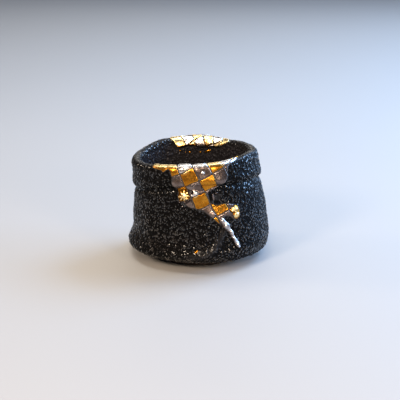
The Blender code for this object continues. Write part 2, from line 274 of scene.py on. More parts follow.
# Relief that the shading adds to metal and clay, and the angle from which metal edges are sharp.
METAL_RELIEF, CLAY_RELIEF = 0.03 * MM, 0.12 * MM
SHARP_EDGE = math.radians(62)

# Foot ring: how far it reaches into the body, and the unevenness of its radius.
FOOT_SUNK, FOOT_WAVE = 0.6 * MM, 0.12 * MM

# Body: how far its closed base dips into the foot, the first ring of the floor as a share of the
# last one of the wall, how smooth the floor is, and where the painted sheen inside starts and is
# full.
BASE_DIP, FIRST_FLOOR_RING, FLOOR_CALM = 0.5 * MM, 0.985, 0.3
INSIDE_SPAN = (1 * MM, 6 * MM)

# Width of the bed's edge round a mend, and how smooth the fold is.
BED_EDGE, FOLD_CALM = 0.45 * MM, 0.6

# Mesh density: numbers of columns, rows and steps, and lengths in metres.
BODY_COLUMNS = 540
OUTER_ROWS = 132
LIP_INSIDE = 15 * MM
LIP_ROWS = 30
INNER_ROWS = 34
FLOOR_ROWS = 14
TABLE_COLUMNS = 720
TABLE_STEP = 0.1 * MM
SPAN_STEPS = 12
FOOT_COLUMNS = 180
FILL_STEP = 0.36 * MM
EDGE_ROWS = (0.35, 1.0)
ROW_SLACK = 0.02 * MM
SEAM_STEP = 0.5 * MM
SEAM_REACH = 1.2 * MM
MERGED = 0.004 * MM
OUTLINE_STEPS = 6
DISTANCE_BATCH = 4000


def length(description, millimetres):
    """A length that a user can set."""
    return bpy.props.FloatProperty(
        description=description,
        default=millimetres * MM,
        min=0.0,
        precision=5,
        unit="LENGTH",
        subtype="DISTANCE",
    )


def angle_of(description, degrees):
    """An angle that a user can set."""
    return bpy.props.FloatProperty(
        description=description, default=math.radians(degrees), subtype="ANGLE", unit="ROTATION"
    )


def colour(description, default):
    """A colour that a user can set."""
    return bpy.props.FloatVectorProperty(
        description=description, default=default, min=0.0, max=1.0, size=3, subtype="COLOR"
    )


class CupForm(bpy.types.PropertyGroup):
    """Sizes of the pinched body"""

    rim_height: length("Mean height of the lip over the table", 54.0)
    mouth_radius: length("Radius of the mouth outside", 32.0)
    waist_radius: length("Radius where the body is widest", 36.0)
    waist_height: length("Height of the widest place", 8.4)
    mouth_lean: length("How far the mouth stands to the left", 1.95)
    wall: length("Thickness of the wall", 4.6)
    lower_wall_gain: length("How much thicker the wall is low down", 1.2)
    lip_thickness: length("Thickness of the rounded lip", 5.2)
    floor_thickness: length("Thickness of the floor", 5.2)
    collar_height: length("Depth of the collar under the lip", 13.0)
    crease_depth: length("Depth of the crease below the collar", 0.7)
    crease_rise: length("Height of the crease", 1.8)
    foot_radius: length("Outer radius of the foot ring", 21.5)
    foot_ring_width: length("Width of the foot ring", 4.6)
    foot_height: length("Height of the foot ring", 2.8)
    foot_recess: length("Depth of the recess in the foot", 2.0)
    foot_chamfer: length("Chamfer of the foot ring", 0.5)
    undercut: length("How far the base turns in", 5.6)
    undercut_height: length("Height where the base turns in", 4.2)


class GlazeLook(bpy.types.PropertyGroup):
    """Relief and colours of the black glaze"""

    bead_size: length("Distance between the beads of the glaze", 1.30)
    relief: length("Height of the beads", 0.44)
    drift: length("Slow unevenness of the surface", 0.18)
    bump: length("Fine relief that the shading adds", 0.60)
    bead_colour: colour("Colour on the beads", (0.008, 0.0078, 0.008))
    # Painted shade in the gaps between the beads.
    gap_shade_colour: colour("Colour between the beads", (0.0015, 0.0013, 0.0012))
    # Paler grains on the bead tops: partly the glaze's own colour, partly painted glints.
    grain_and_glint_colour: colour("Colour of the paler grains on the beads", (0.036, 0.028, 0.021))
    # Painted warm reflection, paler and browner, on the lower body.
    low_reflection_colour: colour("Brownish cast of the lower body", (0.028, 0.022, 0.018))
    smooth_colour: colour("Colour of the smooth places", (0.008, 0.008, 0.009))
    pale_smooth_colour: colour("Paler colour of the smooth places", (0.028, 0.026, 0.025))
    # Painted sheen, paler and bluish, on the glaze inside the cup.
    inside_sheen_colour: colour("Paler colour of the beads inside", (0.034, 0.032, 0.036))
    # The bare foot's colour, darkened in part as painted shade under the cup.
    clay_and_shade_colour: colour("Colour of the bare foot", (0.055, 0.036, 0.027))
    grit_colour: colour("Colour of the grit in the bare foot", (0.22, 0.19, 0.16))


class MendLook(bpy.types.PropertyGroup):
    """Sizes and colours of the gold and silver mends"""

    check: length("Side of one check", 7.1)
    back_check: length("Side of one check of the back mend", 5.8)
    seam: length("Width of the seam between two checks", 0.32)
    proud: length("How far the checks stand off the skin", 0.50)
    bed: length("Height of the dark bed in the seams", 0.28)
    root: length("How deep the checks are sunk in the skin", 0.40)
    edge: length("Width of a check's rounded edge", 0.34)
    lean: length("How much further the back mend stands off inside the lip", 1.1)
    wander: length("How far the seams stray from straight lines", 0.14)
    turn: angle_of("Angle of the checks against the lip", 23)
    # The gold's colour, darker than bare gold in part as a painted dark reflection.
    gold: colour("Colour of the gold", (0.53, 0.225, 0.022))
    deep_gold: colour("Colour of the gold where it is darker", (0.38, 0.145, 0.011))
    # Painted highlight of the gold on the lip and the lumps.
    painted_highlight_gold: colour("Colour of the gold where it is rubbed bright", (1.0, 0.76, 0.36))
    # The silver's colour, darker than bare silver in part as a painted dark reflection.
    silver: colour("Colour of the silver", (0.215, 0.172, 0.156))
    # Painted highlight of the silver on the lip, the lumps and the vein.
    painted_highlight_silver: colour("Colour of the silver where it is rubbed bright", (0.74, 0.71, 0.69))
    tarnish: colour("Colour of the silver where it is tarnished", (0.125, 0.092, 0.080))
    seam_colour: colour("Colour of the bed in the seams", (0.05, 0.046, 0.044))


class StageLook(bpy.types.PropertyGroup):
    """Floor, light and view"""

    floor_colour: colour("Colour of the floor", (0.38, 0.370, 0.355))
    view_distance: length("Distance of the camera from the cup", 700)
    view_height: length("Height that the camera looks at", 27)
    elevation: angle_of("Angle at which the camera looks down", 17.3)


class Value:
    """An output of a node tree. Arithmetic on it adds Math nodes."""

    def __init__(self, graph, socket):
        self.graph = graph
        self.socket = socket


SIGNS = {"add": "ADD", "sub": "SUBTRACT", "mul": "MULTIPLY", "truediv": "DIVIDE"}
for sign, operation in SIGNS.items():

    def forward(self, other, operation=operation):
        return self.graph.math(operation, self, other)

    def backward(self, other, operation=operation):
        return self.graph.math(operation, other, self)

    setattr(Value, f"__{sign}__", forward)
    setattr(Value, f"__r{sign}__", backward)


class Graph:
    """A node tree that is written as expressions."""

    def __init__(self, tree):
        self.tree = tree

    def add(self, kind, inputs=None, output=0, **settings):
        """Adds a node, makes its settings and then fills its sockets with values or links."""
        node = self.tree.nodes.new(kind)
        for name, value in settings.items():
            setattr(node, name, value)
        for name, value in (inputs or {}).items():
            socket = node.inputs[name]
            if isinstance(value, Value):
                self.tree.links.new(value.socket, socket)
            else:
                socket.default_value = value
        return Value(self, node.outputs[output]) if node.outputs else node

    def math(self, operation, first, second):
        return self.add("ShaderNodeMath", {0: first, 1: second}, operation=operation)

    def vector(self, operation, first, second):
        """Vector Math. For SCALE the second is a number."""
        socket = "Scale" if operation == "SCALE" else 1
        inputs = {0: first, socket: second}
        return self.add("ShaderNodeVectorMath", inputs, operation=operation)

    def mix(self, factor, first, second):
        """A mix of two colours."""
        inputs = {0: factor, 6: as_colour(first), 7: as_colour(second)}
        return self.add("ShaderNodeMix", inputs, output=2, data_type="RGBA")

    def noise(self, position, scale, detail=2.0, output=0):
        inputs = {"Vector": position, "Scale": scale, "Detail": detail}
        return self.add("ShaderNodeTexNoise", inputs, output=output)

    def ramp(self, value, low, high):
        """A smooth step from 0 at low to 1 at high."""
        inputs = {"Value": value, "From Min": low, "From Max": high}
        return self.add("ShaderNodeMapRange", inputs, interpolation_type="SMOOTHSTEP")

    def place(self):
        """In a material, the place on the piece in metres."""
        return self.add("ShaderNodeTexCoord", output=3)

    def painted(self, name):
        """In a material, a value that the points carry."""
        return self.add("ShaderNodeAttribute", output=2, attribute_name=name)

    def named(self, name, kind="FLOAT"):
        """In a Geometry Nodes tree, a value that the points carry."""
        return self.add("GeometryNodeInputNamedAttribute", {"Name": name}, data_type=kind)

    def raised(self, shape, rise):
        """A shape with its points moved along their normals."""
        offset = self.vector("SCALE", self.add("GeometryNodeInputNormal"), rise)
        return self.add("GeometryNodeSetPosition", {"Geometry": shape, "Offset": offset})

    def bumped(self, height, distance):
        """Normals that a height shades, raised by this distance in metres."""
        return self.add("ShaderNodeBump", {"Height": height, "Distance": distance, "Strength": 1.0})


def as_colour(value):
    return value if isinstance(value, Value) else (*value, 1.0)


def beads(graph, position, size):
    """Height from 0 to 1 of the beads and short worms that the glaze has drawn itself into."""
    swirl = graph.noise(position, 0.6 / size, 0.0, output=1)
    swirl = graph.vector("SUBTRACT", swirl, (0.5, 0.5, 0.5))
    moved = graph.vector("ADD", position, graph.vector("SCALE", swirl, size * BEAD_PULL))
    inputs = {"Vector": moved, "Scale": 1.0 / size, "Smoothness": 0.15, "Randomness": 0.9}
    middle = graph.add("ShaderNodeTexVoronoi", inputs, feature="SMOOTH_F1")
    rise = graph.noise(position, 0.6 / size, 0.0)
    share = BEAD_LEAST + (1 - BEAD_LEAST) * graph.ramp(rise, 0.36, 0.60)
    return (1 - graph.ramp(middle, 0.0, BEAD_REACH)) * share


def turned(angle, start):
    """How far round the cup an angle lies from a start, from -pi to pi."""
    return (angle - start + math.pi) % (2 * math.pi) - math.pi


def around(values, angle):
    """A smooth value at each angle from four values: right, back, left and front."""
    right, back, left, front = values
    mean = (right + back + left + front) / 4
    across = (right - left) / 2 * np.cos(angle) + (back - front) / 2 * np.sin(angle)
    return mean + across + (right + left - back - front) / 4 * np.cos(2 * angle)


def spline(before, start, end, after, t):
    """Catmull-Rom between start and end."""
    return (
        start * 2
        + (end - before) * t
        + (before * 2 - start * 5 + end * 4 - after) * t**2
        + (start * 3 - before - end * 3 + after) * t**3
    ) * 0.5


def rim_height(form, angle):
    """Height of the lip's crest at each angle."""
    degrees = np.degrees(angle) % 360
    marks = np.array([mark for mark, _ in RIM_WAVE] + [360])
    heights = np.array([height for _, height in RIM_WAVE])
    index = np.searchsorted(marks, degrees, side="right") - 1
    index = np.clip(index, 0, len(heights) - 1)
    t = (degrees - marks[index]) / (marks[index + 1] - marks[index])
    near = [heights[(index + k) % len(heights)] for k in (-1, 0, 1, 2)]
    return form.rim_height * spline(*near, t)


def pinched(radius, angle):
    """The radius with the maker's finger waves in it."""
    waves = (depth * np.sin(lobes * angle + math.radians(phase)) for lobes, phase, depth in PINCHES)
    return radius * (1 + sum(waves))


def section(form, angle):
    """Control points (radius, height) of the skin at each angle: outside, lip and inside."""
    rim = rim_height(form, angle)
    mouth = pinched(form.mouth_radius, angle) - form.mouth_lean * np.cos(angle)
    crease_height = rim - around(COLLAR_WAVE, angle) * form.collar_height
    collar = mouth + around(COLLAR_LEAN, angle) * form.mouth_radius
    crease = collar - form.crease_depth
    waist = pinched(form.waist_radius, angle)
    waist_height = around(WAIST_WAVE, angle) * form.waist_height
    lip = form.lip_thickness / 2
    bulge, bulge_drop = COLLAR_BULGE

    outside = [
        (form.foot_radius + form.foot_chamfer, form.foot_height),
        (waist - around(UNDERCUT_WAVE, angle) * form.undercut, form.undercut_height),
        (waist, waist_height),
    ]
    for part, *flare in BODY_FLARE:
        height = waist_height + part * (crease_height - waist_height)
        outside.append((crease + around(flare, angle) * (waist - crease), height))
    outside += [
        (crease, crease_height),
        (collar, crease_height + form.crease_rise),
        (mouth + (collar - mouth) * bulge, rim - lip - form.collar_height * bulge_drop),
    ]

    turns = [math.radians(degrees) for degrees in (0, 45, 90, 135, 180)]
    roll = [(mouth - lip + lip * math.cos(t), rim - lip + lip * math.sin(t)) for t in turns]

    inside = [(crease - form.wall, crease_height)]
    for part, *flare in reversed(BODY_FLARE[1:]):
        height = waist_height + part * (crease_height - waist_height)
        wall = form.wall + form.lower_wall_gain * (1 - part)
        inside.append((crease + around(flare, angle) * (waist - crease) - wall, height))
    radius, height = inside[-1]
    floor = form.foot_recess + form.floor_thickness
    inside += [(radius * wide, floor + (height - floor) * rise) for wide, rise in FLOOR_BOWL]
    return outside, roll, inside


def hollow(form, angle, height):
    """How far the outside is pressed in at each angle and height."""
    depth = 0
    for degrees, level, spread, reach, part in HOLLOWS:
        turn = turned(angle, math.radians(degrees)) / math.radians(spread)
        rise = (height / form.rim_height - level) / reach
        depth += part * form.wall * np.exp(-(turn**2) - rise**2)
    return depth


def collar_roll(form, angle, height):
    """How far the collar and the crease under it stand out at each angle and height."""
    crease = rim_height(form, angle) - around(COLLAR_WAVE, angle) * form.collar_height
    out = 0
    for rise, reach, amount in COLLAR_ROLL:
        out += amount * MM * np.exp(-(((height - crease) / MM - rise) / reach) ** 2)
    return out * around(COLLAR_ROLL_WAVE, angle)


class Skin:
    """The smooth skin of the cup, looked up by the angle and by the travel from the lip's crest.

    Travel is above 0 down the outside and below 0 down the inside.
    """

    def __init__(self, form):
        self.form = form
        angles = 2 * math.pi * np.arange(TABLE_COLUMNS) / TABLE_COLUMNS
        outside, roll, inside = section(form, angles)
        marks = [np.stack([r + 0 * angles, h + 0 * angles], -1) for r, h in outside + roll + inside]
        marks = [marks[0], *marks, marks[-1]]
        points = []
        for near in zip(marks, marks[1:], marks[2:], marks[3:]):
            points += [spline(*near, k / SPAN_STEPS) for k in range(SPAN_STEPS)]
        points = np.stack([*points, marks[-1]], axis=1)
        outer = slice(SPAN_STEPS, len(outside) * SPAN_STEPS)
        points[:, outer, 0] -= hollow(form, angles[:, None], points[:, outer, 1])
        points[:, outer, 0] += collar_roll(form, angles[:, None], points[:, outer, 1])
        steps = np.linalg.norm(np.diff(points, axis=1), axis=2)
        run = np.concatenate([np.zeros((len(angles), 1)), np.cumsum(steps, axis=1)], axis=1)
        crest = (len(outside) + len(roll) // 2) * SPAN_STEPS
        travel = run[:, crest : crest + 1] - run
        self.outer_end = travel[:, 0]
        self.inner_end = travel[:, -1]
        self.levels = np.arange(travel.min(), travel.max() + TABLE_STEP, TABLE_STEP)
        self.table = np.empty((len(angles), len(self.levels), 2))
        for k, column in enumerate(points[:, ::-1]):
            for axis in range(2):
                self.table[k, :, axis] = np.interp(self.levels, travel[k, ::-1], column[:, axis])

    def ends(self, angle):
        """Travel to the foot and to the last ring of the floor, at each angle."""
        turns = np.arange(TABLE_COLUMNS + 1) * 2 * math.pi / TABLE_COLUMNS
        closed = [np.append(end, end[0]) for end in (self.outer_end, self.inner_end)]
        return [np.interp(angle % (2 * math.pi), turns, end) for end in closed]

    def at(self, angle, travel):
        """Points of the skin, as rows of x, y and z."""
        column = (angle % (2 * math.pi)) / (2 * math.pi) * TABLE_COLUMNS
        row = np.clip((travel - self.levels[0]) / TABLE_STEP, 0, len(self.levels) - 1.001)
        left, low = np.floor(column).astype(int), np.floor(row).astype(int)
        part, rise = (column - left)[..., None], (row - low)[..., None]
        left, right = left % TABLE_COLUMNS, (left + 1) % TABLE_COLUMNS
        near = self.table[left, low] * (1 - rise) + self.table[left, low + 1] * rise
        far = self.table[right, low] * (1 - rise) + self.table[right, low + 1] * rise
        radius, height = np.moveaxis(near * (1 - part) + far * part, -1, 0)
        return np.stack([radius * np.cos(angle), radius * np.sin(angle), height], -1)

    def normal(self, angle, travel):
        """Directions out of the skin."""
        turn, step = 0.01, 0.3 * MM
        side = self.at(angle + turn, travel) - self.at(angle - turn, travel)
        down = self.at(angle, travel + step) - self.at(angle, travel - step)
        out = np.cross(down, side)
        return out / np.linalg.norm(out, axis=-1, keepdims=True)

    def bridged(self):
        """The skin with its narrow hollows below the lip filled, as metal fills them."""
        half = round(BRIDGE / TABLE_STEP)
        window = np.hanning(2 * half + 1)
        radius = self.table[:, :, 0]
        padded = np.pad(radius, ((0, 0), (half, half)), mode="edge")
        spread = np.array([np.convolve(row, window / window.sum(), "valid") for row in padded])
        part = smoothstep(self.levels, *BRIDGE_START)
        found = copy.copy(self)
        found.table = self.table.copy()
        found.table[:, :, 0] = radius + part * np.maximum(spread - radius, 0)
        return found

    def off(self, across, travel, proud, start=FRONT):
        """Points this far round the mouth and down from the crest, and this far off the skin."""
        angle = start + across / self.form.mouth_radius
        return self.at(angle, travel) + self.normal(angle, travel) * np.asarray(proud)[..., None]


def closed_curve(marks, steps=OUTLINE_STEPS):
    """A smooth closed outline through marks in mm, as flat points in metres."""
    marks = np.array(marks, float) * MM
    near = [np.roll(marks, shift, axis=0) for shift in (1, 0, -1, -2)]
    return np.stack([spline(*near, k / steps) for k in range(steps)], axis=1).reshape(-1, 2)


def uneven(points, width, seed):
    """Soft random values from -1 to 1 at flat points."""
    scaled = np.asarray(points) / width
    return np.array([noise.noise(Vector((x, y, seed))) for x, y in scaled])


def depth_inside(points, outline):
    """How deep flat points lie within a closed outline; below 0 outside it."""
    start, end = outline, np.roll(outline, -1, axis=0)
    side = end - start
    level = side[:, 1] + (side[:, 1] == 0)
    found = np.empty(len(points))
    for low in range(0, len(points), DISTANCE_BATCH):
        part = points[low : low + DISTANCE_BATCH, None]
        gap = part - start
        along = np.clip((gap * side).sum(-1) / (side**2).sum(-1), 0, 1)
        near = np.linalg.norm(gap - along[..., None] * side, axis=-1).min(1)
        spans = (start[:, 1] > part[..., 1]) != (end[:, 1] > part[..., 1])
        left_of = part[..., 0] < start[:, 0] + gap[..., 1] / level * side[:, 0]
        within = (spans & left_of).sum(1) % 2 == 1
        found[low : low + DISTANCE_BATCH] = np.where(within, near, -near)
    return found


def smoothstep(value, low, high):
    t = np.clip((value - low) / (high - low), 0, 1)
    return t * t * (3 - 2 * t)


def wander(points, amount):
    """A small sideways drift of flat points, as hand-laid seams have."""
    wide = 2 * math.pi / (11 * MM)
    tight = 2 * math.pi / (4.7 * MM)
    x, y = points[:, 0], points[:, 1]
    across = np.sin(y * wide + 0.8) + 0.5 * np.sin(y * tight + x * wide + 2.1)
    down = np.sin(x * wide + 2.9) + 0.5 * np.sin(x * tight + y * wide + 0.4)
    return np.stack([across, down], -1) * amount


def unwander(points, amount):
    """The flat points that wander brings here."""
    found = points
    for _ in range(4):
        found = points - wander(found, amount)
    return found


def join_front(along, down):
    """Joins the front checks past their last seams, and one check with the lip above it."""
    down = np.where(along < -1, np.maximum(down, -1.5), down)
    down = np.where((along > 0) & (along < 1), np.maximum(down, -0.5), down)
    along = np.maximum(along, -1.5)
    return np.where((along > 2) & (down > 0), 1.5, along), down


def join_back(along, down):
    """Makes each end of the back mend one gold check."""
    down = np.select([along > 2, along < -2], [0.5, -0.5], down)
    return np.clip(along, -2.5, 2.5), down


class Mend:
    """One mend: flat outline, crossing of its seams, and the angle round the cup it starts from.

    Its join says which checks run on over a seam.
    """

    def __init__(self, look, edge, crossing, start, check, join, lumps=(), drops=(), lean=0.0):
        self.look = look
        self.check = check
        self.join = join
        self.lean = lean
        self.start = start
        self.lumps = lumps
        self.drops = drops
        outline = closed_curve(edge)
        self.outline = outline + wander(outline, look.wander)
        far, wide = EDGE_WAVER
        waver = [uneven(outline, wide * MM, pattern) for pattern in (3.1, 8.6)]
        self.outline += far * MM * np.stack(waver, -1)
        self.crossing = np.array(crossing) * MM
        self.along = np.array([math.cos(look.turn), -math.sin(look.turn)])
        self.down = np.array([math.sin(look.turn), math.cos(look.turn)])

    def cell(self, points):
        """Place in the checks, counted in checks from the crossing: (along, down)."""
        offset = points - self.crossing
        along, down = offset @ self.along / self.check, offset @ self.down / self.check
        return self.join(along, down)

    def seam_gap(self, points):
        """Distance from the nearest seam's middle."""
        gaps = [np.abs(place - np.round(place)) for place in self.cell(points)]
        return np.minimum(*gaps) * self.check

    def depth(self, points):
        """Depth of flat points within their check; below 0 outside the mend or in a seam."""
        return np.minimum(
            depth_inside(points, self.outline), self.seam_gap(points) - self.look.seam / 2
        )

    def silver_here(self, points):
        """Whether each flat point lies in a silver check."""
        along, down = self.cell(points)
        return (np.floor(along) + np.floor(down)) % 2 == 1

    def seam_lines(self):
        """Flat polylines along both sides of every seam."""
        half, check = self.look.seam / 2, self.check
        reach = np.linalg.norm(self.outline - self.crossing, axis=1).max()
        run = np.arange(-reach, reach, SEAM_STEP)[:, None]
        lines = []
        for k in range(-math.ceil(reach / check), math.ceil(reach / check) + 1):
            for side, way in ((self.along, self.down), (self.down, self.along)):
                for edge in (-half, half):
                    lines.append(self.crossing + side * (k * check + edge) + way * run)
        return lines

    def inner_points(self):
        """Flat points within the checks: an even field, and two rows inside each edge."""
        low, high = self.outline.min(0), self.outline.max(0)
        rows = np.arange(low[1], high[1], FILL_STEP * math.sqrt(3) / 2)
        columns = np.arange(low[0], high[0], FILL_STEP)
        field = [(x + FILL_STEP / 2 * (k % 2), y) for k, y in enumerate(rows) for x in columns]
        field = np.array(field)
        found = [field[self.depth(field) > self.look.edge + FILL_STEP / 2]]
        for part in EDGE_ROWS:
            inset = self.look.edge * part
            side = np.roll(self.outline, -1, axis=0) - np.roll(self.outline, 1, axis=0)
            side = np.stack([-side[:, 1], side[:, 0]], -1) / np.linalg.norm(side, axis=1)[:, None]
            rows = [self.outline + side * inset, self.outline - side * inset]
            for line in self.seam_lines():
                for way in (self.along, self.down):
                    rows += [line + way * inset, line - way * inset]
            row = np.concatenate(rows)
            found.append(row[np.abs(self.depth(row) - inset) < ROW_SLACK])
        return np.concatenate(found)

    def triangles(self):
        """Flat points and triangles of the whole mend, cut along its outline and its seams."""
        points = list(self.outline)
        sides = [(k, (k + 1) % len(points)) for k in range(len(points))]
        for line in self.seam_lines():
            line = line[depth_inside(line, self.outline) > -SEAM_REACH]
            line = line[self.seam_gap(line) < self.look.seam]
            if len(line) > 1:
                sides += [(len(points) + k, len(points) + k + 1) for k in range(len(line) - 1)]
                points += list(line)
        points += list(self.inner_points())
        flat, _, faces, *_ = geometry.delaunay_2d_cdt(
            [Vector(point) for point in points], sides, [], 0, MERGED
        )
        return np.array([tuple(point) for point in flat]), np.array(faces)

    def lump_gap(self, points, across, travel, radius, rays):
        """Distance from a lump's middle, 1 at its edge or at the tips of its rays."""
        offset = (points / MM - (across, travel)) / radius
        gap = np.linalg.norm(offset, axis=1)
        if not rays:
            return gap
        turn = np.arctan2(offset[:, 1], offset[:, 0])
        return gap / (0.62 + 0.30 * np.cos(rays * turn) + 0.08 * np.cos(4 * turn + 1))

    def height(self, points):
        """How far the metal stands off the skin: rounded at its edges, with lumps and drops."""
        look = self.look
        rise = 1 - np.clip(self.depth(points) / look.edge, 0, 1)
        level = 1 - rise
        rounded = np.sqrt(np.clip(1 - rise**2, 0, 1))
        found = look.proud * (LOW_EDGE + (1 - LOW_EDGE) * rounded)
        for high, wide, pattern in METAL_WAVES:
            found += level * high * MM * uneven(points, wide * MM, pattern)
        start, end = LEAN_SPAN
        found += self.lean * smoothstep(-points[:, 1], start * MM, end * MM)
        for across, travel, radius, lump, rays in self.lumps:
            gap = self.lump_gap(points, across, travel, radius, rays)
            dome = np.clip(1 - gap, 0, 1) ** 0.7 if rays else np.clip(1 - gap**2, 0, 1)
            found += lump * MM * dome
        for across, travel, radius, deep, width in self.drops:
            fade = smoothstep(1 - self.lump_gap(points, across, travel, radius, 0), 0, 0.5)
            found += fade * deep * MM * (0.3 + uneven(points, width * MM / 1.6, 4.4)) * level
        return found

    def rubbed(self, points):
        """Painted highlight up to 1 on the lip and the lumps; painted shade below 0 in dimples and
        the star.
        """
        (reach, fade), (inner_reach, inner_fade) = LIP_HIGHLIGHT
        found = smoothstep(reach * MM - points[:, 1], 0, fade * MM)
        found *= smoothstep(points[:, 1] + inner_reach * MM, 0, inner_fade * MM)
        # Painted highlight on the raised lumps.
        for across, travel, radius, lump, rays in self.lumps:
            if lump > 0.5:
                gap = self.lump_gap(points, across, travel, radius, rays)
                found = np.maximum(found, smoothstep(1.0 - gap, 0, 0.4))
        # Painted shade round the star's rays and in the dimples.
        for across, travel, radius, lump, rays in self.lumps:
            if rays or lump < -0.5:
                gap = self.lump_gap(points, across, travel, radius, 0)
                shade = smoothstep(1.15 - gap, 0, 0.3) * (1 - found if rays else 1.0)
                found = found * (1 - shade) - 0.8 * shade
        return found

    def solid_faces(self, faces, flat):
        """Flat faces of one metal, without crumbs and without those that meet at one point only."""
        while True:
            pairs = np.concatenate([faces[:, [0, 1]], faces[:, [1, 2]], faces[:, [2, 0]]]).tolist()
            ends = {(a, b) for a, b in pairs} - {(b, a) for a, b in pairs}
            touching = np.bincount([a for a, _ in ends], minlength=len(flat)) > 1
            if not touching.any():
                break
            faces = faces[~touching[faces].any(axis=1)]
        label, before = np.arange(len(flat)), None
        while before is None or (label != before).any():
            before = label.copy()
            np.minimum.at(label, faces.ravel(), np.repeat(before[faces].min(axis=1), 3))
        one, two = (flat[faces[:, k]] - flat[faces[:, 0]] for k in (1, 2))
        area = np.abs(one[:, 0] * two[:, 1] - one[:, 1] * two[:, 0]) / 2
        whole = np.bincount(label[faces[:, 0]], area, minlength=len(flat))
        return faces[whole[label[faces[:, 0]]] > CRUMB * MM * MM]

    def slabs(self, skin):
        """Closed slabs of each metal: {metal: (points, faces, painted highlight and shade)}."""
        flat, faces = self.triangles()
        middle = flat[faces].mean(axis=1)
        kept = self.depth(middle) > 0
        faces, middle = faces[kept][:, ::-1], middle[kept]
        silver = self.silver_here(middle)
        height = self.height(flat)
        real = unwander(flat, self.look.wander)
        laid = skin.bridged()
        found = {}
        for metal, mine in (("gold", ~silver), ("silver", silver)):
            used, index = np.unique(self.solid_faces(faces[mine], flat), return_inverse=True)
            tops = index.reshape(-1, 3)
            across, travel = real[used].T
            over = laid.off(across, travel, height[used], self.start)
            under = skin.off(across, travel, -self.look.root + 0 * across, self.start)
            count = len(used)
            ends = {(a, b) for face in tops.tolist() for a, b in zip(face, face[1:] + face[:1])}
            walls = [(b, a, a + count, b + count) for a, b in sorted(ends) if (b, a) not in ends]
            bottoms = tops[:, ::-1] + count
            # Painted highlight and painted shade for the metal's colour, on the top and bottom
            # points.
            light_and_shade = np.tile(self.rubbed(flat[used]), 2)
            sides = tops.tolist() + bottoms.tolist() + walls
            found[metal] = (np.concatenate([over, under]), sides, light_and_shade)
        return found


def made_piece(name, points, faces, material=None, edges=()):
    """An object in the scene from points and faces."""
    data = bpy.data.meshes.new(name)
    data.from_pydata(np.asarray(points).tolist(), list(edges), faces)
    data.validate()
    if material:
        data.materials.append(material)
    if faces:
        data.shade_smooth()
    piece = bpy.data.objects.new(name, data)
    bpy.context.scene.collection.objects.link(piece)
    return piece


def with_values(piece, name, values, kind="FLOAT"):
    """Gives each point of a piece a value under this name."""
    attribute = piece.data.attributes.new(name, kind, "POINT")
    field = "value" if kind == "FLOAT" else "vector"
    attribute.data.foreach_set(field, np.asarray(values, np.float32).ravel())


def shaped(piece, tree, **inputs):
    """Runs a Geometry Nodes tree on a piece and keeps the result as its plain mesh."""
    modifier = piece.modifiers.new(tree.name, "NODES")
    modifier.node_group = tree
    for item in tree.interface.items_tree:
        if item.in_out == "INPUT" and item.name in inputs:
            modifier[item.identifier] = inputs[item.name]
    graph = bpy.context.evaluated_depsgraph_get()
    evaluated = piece.evaluated_get(graph)
    data = bpy.data.meshes.new_from_object(
        evaluated, preserve_all_data_layers=True, depsgraph=graph
    )
    piece.modifiers.remove(modifier)
    piece.data = data
    data.shade_smooth()
    return piece


def new_tree(name, *numbers):
    """A Geometry Nodes tree with named inputs: (graph, {name: value}, function that ends it)."""
    tree = bpy.data.node_groups.new(name, "GeometryNodeTree")
    graph = Graph(tree)
    for label in ("Geometry", *numbers, "Material"):
        kind = "Float" if label in numbers else label
        tree.interface.new_socket(label, in_out="INPUT", socket_type=f"NodeSocket{kind}")
    tree.interface.new_socket("Geometry", in_out="OUTPUT", socket_type="NodeSocketGeometry")
    entry = tree.nodes.new("NodeGroupInput")
    inputs = {socket.name: Value(graph, socket) for socket in entry.outputs if socket.name}

    def end(made):
        whole = graph.add("GeometryNodeRealizeInstances", {"Geometry": made})
        finish = {"Geometry": whole, "Material": inputs["Material"]}
        dressed = graph.add("GeometryNodeSetMaterial", finish)
        graph.add("NodeGroupOutput", {0: dressed})
        return tree

    return graph, inputs, end


def glaze_tree():
    """Raises the glaze into beads along its normals, apart from the smooth places."""
    graph, given, end = new_tree("Beaded glaze", "Bead size", "Relief", "Drift", "Bed")
    place = graph.add("GeometryNodeInputPosition")
    calm = graph.named("calm")
    mend = graph.named("mend")
    bead = beads(graph, place, given["Bead size"]) - BEAD_LEVEL
    slow = graph.noise(place, 0.12 / given["Bead size"], 1.0) - 0.5
    rise = bead * given["Relief"] * (1 - calm) + slow * given["Drift"] * 2 * (1 - mend)
    rise = rise + mend * given["Bed"]
    return end(graph.raised(given["Geometry"], rise))


def vein_tree():
    """Sweeps a lumpy rod of changing width along a path."""
    graph, given, end = new_tree("Raised vein", "Step", "Lump", "Lump size")
    line = graph.add("GeometryNodeMeshToCurve", {"Mesh": given["Geometry"]})
    line = graph.add("GeometryNodeCurveSplineType", {"Curve": line}, spline_type="CATMULL_ROM")
    steps = {"Curve": line, "Length": given["Step"]}
    line = graph.add("GeometryNodeResampleCurve", steps, mode="LENGTH")
    width = graph.named("half_width")
    round_profile = {"Resolution": 20, "Radius": 1.0}
    ring = graph.add("GeometryNodeCurvePrimitiveCircle", round_profile, mode="RADIUS")
    sweep = {"Curve": line, "Profile Curve": ring, "Scale": width, "Fill Caps": True}
    rod = graph.add("GeometryNodeCurveToMesh", sweep)
    place = graph.add("GeometryNodeInputPosition")
    lump = graph.noise(place, 1 / given["Lump size"], 2.0) - 0.5
    return end(graph.raised(rod, lump * given["Lump"] * 2))


